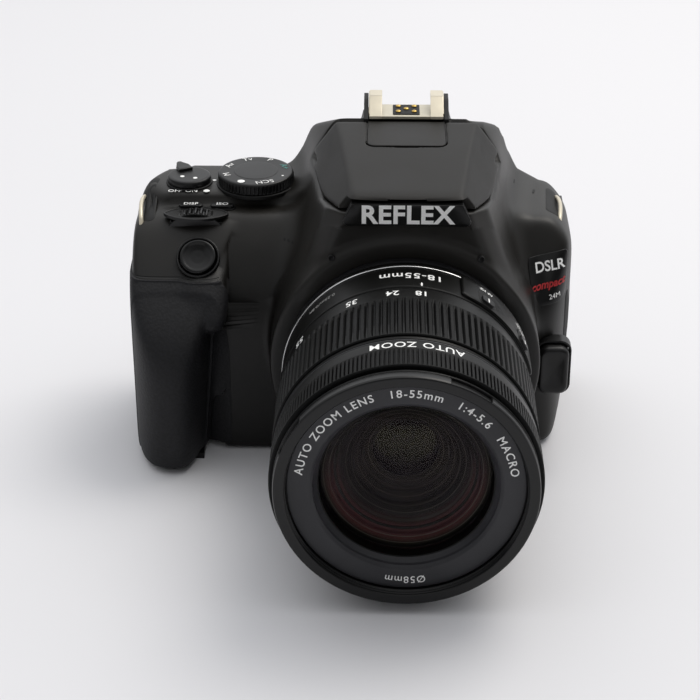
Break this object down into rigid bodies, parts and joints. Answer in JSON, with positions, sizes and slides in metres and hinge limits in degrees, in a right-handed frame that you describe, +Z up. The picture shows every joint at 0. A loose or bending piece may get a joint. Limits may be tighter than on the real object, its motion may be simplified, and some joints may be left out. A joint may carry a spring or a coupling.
{
  "type": "dslr camera",
  "caption": "Compact single-lens reflex camera with a hand grip, lift-up flash, side-opening screen and a short standard zoom lens.",
  "frame": {"origin": "mouth of the tripod socket in the base, straight under the lens axis", "axes": "+Z up; the lens points along -Y; the hand grip is at -X; +X is the viewer's right from the front"},
  "size_m": [0.1224, 0.1298, 0.0926],
  "materials": {
    "black_shell": "fine spark-textured black polycarbonate",
    "black_satin": "smooth satin black plastic",
    "grip_rubber": "leather-grained black rubber",
    "ring_rubber": "ribbed black rubber",
    "gloss_trim": "gloss black plastic",
    "bare_steel": "brushed stainless steel",
    "chrome_ring": "machined bright ring",
    "screw_steel": "blackened screw heads",
    "optical_glass": "coated glass",
    "mirror_glass": "front-silvered mirror",
    "alloy_frame": "die-cast frame",
    "circuit": "green circuit board",
    "brass_bush": "turned brass bush",
    "screen_glass": "gloss screen glass"
  },
  "bodies": {
    "camera_body": {"front_cover": "black_shell", "top_cover": "black_shell", "rear_cover": "black_shell", "bottom_cover": "black_shell", "grip_rubber": "grip_rubber", "thumb_rest": "grip_rubber", "mount_ring": "chrome_ring", "mount_screws": "screw_steel", "mirror_box": "alloy_frame", "hot_shoe": "bare_steel", "shoe_insert": "black_satin", "eyecup": "grip_rubber", "eyepiece_lens": "optical_glass", "badge_plate": "gloss_trim", "name_plate": "gloss_trim", "strap_lugs": "bare_steel", "tripod_bush": "brass_bush", "base_screws": "screw_steel", "image_sensor": "alloy_frame", "shutter_frame": "alloy_frame", "pentamirror": "optical_glass", "main_board": "circuit", "battery": "black_satin", "flash_hinge_pin": "bare_steel", "screen_ears": "bare_steel"},
    "mode_dial": {"mode_dial": "black_satin"},
    "power_switch": {"power_switch": "black_satin"},
    "main_dial": {"main_dial": "black_satin"},
    "shutter_button": {"shutter_button": "gloss_trim"},
    "display_button": {"display_button": "black_satin"},
    "iso_button": {"iso_button": "black_satin"},
    "flash_head": {"flash_head": "black_shell", "flash_window": "optical_glass"},
    "main_mirror": {"main_mirror": "mirror_glass"},
    "sub_mirror": {"sub_mirror": "mirror_glass"},
    "shutter_curtain": {"shutter_curtain": "black_satin"},
    "lens_release_button": {"lens_release_button": "black_satin"},
    "battery_door": {"battery_door": "black_shell"},
    "port_cover_left": {"port_cover_left": "grip_rubber"},
    "port_cover_right": {"port_cover_right": "grip_rubber"},
    "screen": {"screen_housing": "black_shell", "screen_glass": "screen_glass"},
    "dioptre_wheel": {"dioptre_wheel": "black_satin"},
    "cross_keys": {"cross_keys": "black_satin"},
    "set_button": {"set_button": "black_satin"},
    "menu_button": {"menu_button": "black_satin"},
    "info_button": {"info_button": "black_satin"},
    "live_view_button": {"live_view_button": "black_satin"},
    "playback_button": {"playback_button": "black_satin"},
    "lens": {"lens_bayonet": "black_satin", "lens_rear_barrel": "black_satin", "rear_group": "black_satin"},
    "zoom_ring": {"zoom_ring": "ring_rubber"},
    "front_barrel": {"front_barrel": "black_satin", "front_ring": "black_satin", "label_ring": "black_satin", "front_element": "optical_glass"},
    "focus_ring": {"focus_ring": "ring_rubber"},
    "af_mf_switch": {"af_mf_switch": "black_satin"},
    "stabiliser_switch": {"stabiliser_switch": "black_satin"}
  },
  "joints": [
    {"name": "mode_dial_turn", "type": "hinge", "parent": "camera_body", "child": "mode_dial", "pos_m": [-0.0418, 0.017, 0.066], "axis": [0, 0, 1], "continuous": true},
    {"name": "power_switch_turn", "type": "hinge", "parent": "camera_body", "child": "power_switch", "pos_m": [-0.0605, 0.017, 0.066], "axis": [0, 0, -1], "range_deg": [0, 50]},
    {"name": "main_dial_turn", "type": "hinge", "parent": "camera_body", "child": "main_dial", "pos_m": [-0.0575, 0.002, 0.0572], "axis": [0, 1, 0], "continuous": true},
    {"name": "shutter_button_press", "type": "slide", "parent": "camera_body", "child": "shutter_button", "axis": [0, 0.682, -0.7314], "range_m": [0, 0.0012], "stiffness_N_per_m": 400},
    {"name": "display_button_press", "type": "slide", "parent": "camera_body", "child": "display_button", "axis": [0, 0, -1], "range_m": [0, 0.0007], "stiffness_N_per_m": 300},
    {"name": "iso_button_press", "type": "slide", "parent": "camera_body", "child": "iso_button", "axis": [0, 0, -1], "range_m": [0, 0.0007], "stiffness_N_per_m": 300},
    {"name": "flash_head_lift", "type": "hinge", "parent": "camera_body", "child": "flash_head", "pos_m": [0, 0.012, 0.084], "axis": [-1, 0, 0], "range_deg": [0, 65]},
    {"name": "main_mirror_flip", "type": "hinge", "parent": "camera_body", "child": "main_mirror", "pos_m": [0, 0.0075, 0.052], "axis": [-1, 0, 0], "range_deg": [0, 43], "stiffness_Nm_per_rad": 0.002},
    {"name": "sub_mirror_fold", "type": "hinge", "parent": "main_mirror", "child": "sub_mirror", "pos_m": [0, -0.0018, 0.0415], "axis": [1, 0, 0], "range_deg": [0, 90]},
    {"name": "shutter_curtain_drop", "type": "slide", "parent": "camera_body", "child": "shutter_curtain", "axis": [0, 0, -1], "range_m": [0, 0.016]},
    {"name": "lens_release_button_press", "type": "slide", "parent": "camera_body", "child": "lens_release_button", "axis": [0, 1, 0], "range_m": [0, 0.002], "stiffness_N_per_m": 500},
    {"name": "battery_door_open", "type": "hinge", "parent": "camera_body", "child": "battery_door", "pos_m": [-0.049, 0, 0], "axis": [0, -1, 0], "range_deg": [0, 90]},
    {"name": "port_cover_left_open", "type": "hinge", "parent": "camera_body", "child": "port_cover_left", "pos_m": [0.047, -0.0039, 0.035], "axis": [0, 0, -1], "range_deg": [0, 100]},
    {"name": "port_cover_right_open", "type": "hinge", "parent": "camera_body", "child": "port_cover_right", "pos_m": [-0.0754, 0.0081, 0.027], "axis": [0, 0, 1], "range_deg": [0, 100]},
    {"name": "screen_open", "type": "hinge", "parent": "camera_body", "child": "screen", "pos_m": [0.0435, 0.0333, 0.03], "axis": [0, 0, -1], "range_deg": [0, 175]},
    {"name": "dioptre_turn", "type": "hinge", "parent": "camera_body", "child": "dioptre_wheel", "pos_m": [-0.0214, 0.0328, 0.0755], "axis": [0, 0, 1], "range_deg": [-140, 140]},
    {"name": "cross_keys_rock", "type": "hinge", "parent": "camera_body", "child": "cross_keys", "pos_m": [-0.0505, 0.0305, 0.026], "axis": [1, 0, 0], "range_deg": [-3, 3], "stiffness_Nm_per_rad": 0.3},
    {"name": "set_button_press", "type": "slide", "parent": "camera_body", "child": "set_button", "axis": [0, -1, 0], "range_m": [0, 0.0006], "stiffness_N_per_m": 300},
    {"name": "menu_button_press", "type": "slide", "parent": "camera_body", "child": "menu_button", "axis": [0, -1, 0], "range_m": [0, 0.0006], "stiffness_N_per_m": 300},
    {"name": "info_button_press", "type": "slide", "parent": "camera_body", "child": "info_button", "axis": [0, -1, 0], "range_m": [0, 0.0006], "stiffness_N_per_m": 300},
    {"name": "live_view_button_press", "type": "slide", "parent": "camera_body", "child": "live_view_button", "axis": [0, -1, 0], "range_m": [0, 0.0006], "stiffness_N_per_m": 300},
    {"name": "playback_button_press", "type": "slide", "parent": "camera_body", "child": "playback_button", "axis": [0, -1, 0], "range_m": [0, 0.0006], "stiffness_N_per_m": 300},
    {"name": "lens_twist", "type": "hinge", "parent": "camera_body", "child": "lens", "pos_m": [0, -0.03, 0.0355], "axis": [0, -1, 0], "range_deg": [0, 60]},
    {"name": "zoom_turn", "type": "hinge", "parent": "lens", "child": "zoom_ring", "pos_m": [0, -0.06, 0.0355], "axis": [0, 1, 0], "range_deg": [0, 56]},
    {"name": "front_barrel_extend", "type": "slide", "parent": "lens", "child": "front_barrel", "axis": [0, -1, 0], "range_m": [0, 0.0181]},
    {"name": "focus_turn", "type": "hinge", "parent": "front_barrel", "child": "focus_ring", "pos_m": [0, -0.084, 0.0355], "axis": [0, -1, 0], "continuous": true},
    {"name": "af_mf_switch_slide", "type": "slide", "parent": "lens", "child": "af_mf_switch", "axis": [0, 1, 0], "range_m": [0, 0.003]},
    {"name": "stabiliser_switch_slide", "type": "slide", "parent": "lens", "child": "stabiliser_switch", "axis": [0, 1, 0], "range_m": [0, 0.003]}
  ],
  "couplings": [
    {"joint": "front_barrel_extend", "follows": "zoom_turn", "m_per_rad": 0.018417},
    {"joint": "sub_mirror_fold", "follows": "main_mirror_flip", "ratio": 1.9535}
  ]
}
